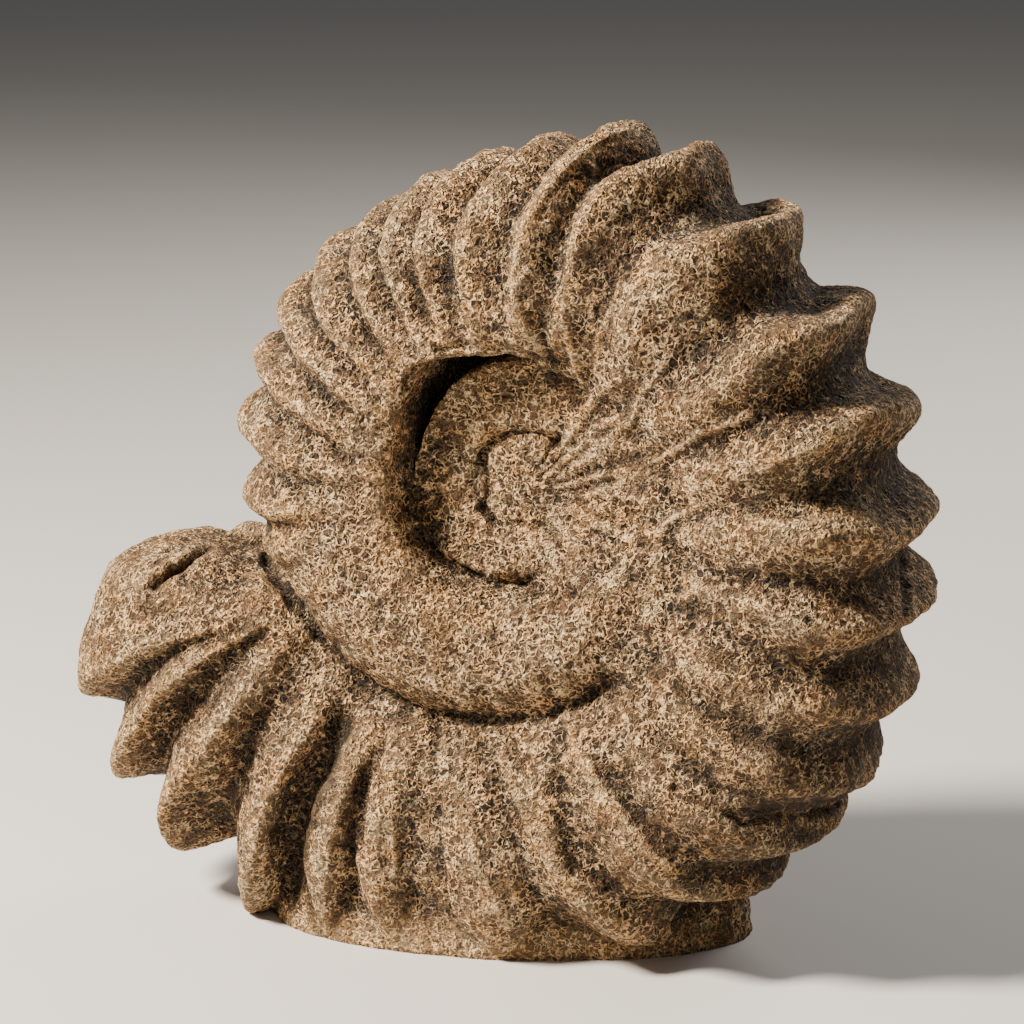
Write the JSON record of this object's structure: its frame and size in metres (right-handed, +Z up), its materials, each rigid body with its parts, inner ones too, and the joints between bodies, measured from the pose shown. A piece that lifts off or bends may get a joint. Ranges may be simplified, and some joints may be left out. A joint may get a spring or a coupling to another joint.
{
  "type": "fossil ammonite",
  "caption": "Large weathered ammonite: a thick coiled stone shell with strong blunt ribs, standing upright on a low flat foot of its own stone.",
  "frame": {"origin": "middle of the flat underside of the foot", "axes": "+Z up out of the foot; +X along the coil's width, away from the mouth; the coil's axis lies along Y and the flank shown in the picture faces -Y"},
  "size_m": [0.334, 0.1134, 0.3068],
  "materials": {
    "stone": "rough weathered brown stone with fine pale veins"
  },
  "bodies": {
    "root": {"ammonite": "stone"}
  },
  "joints": []
}
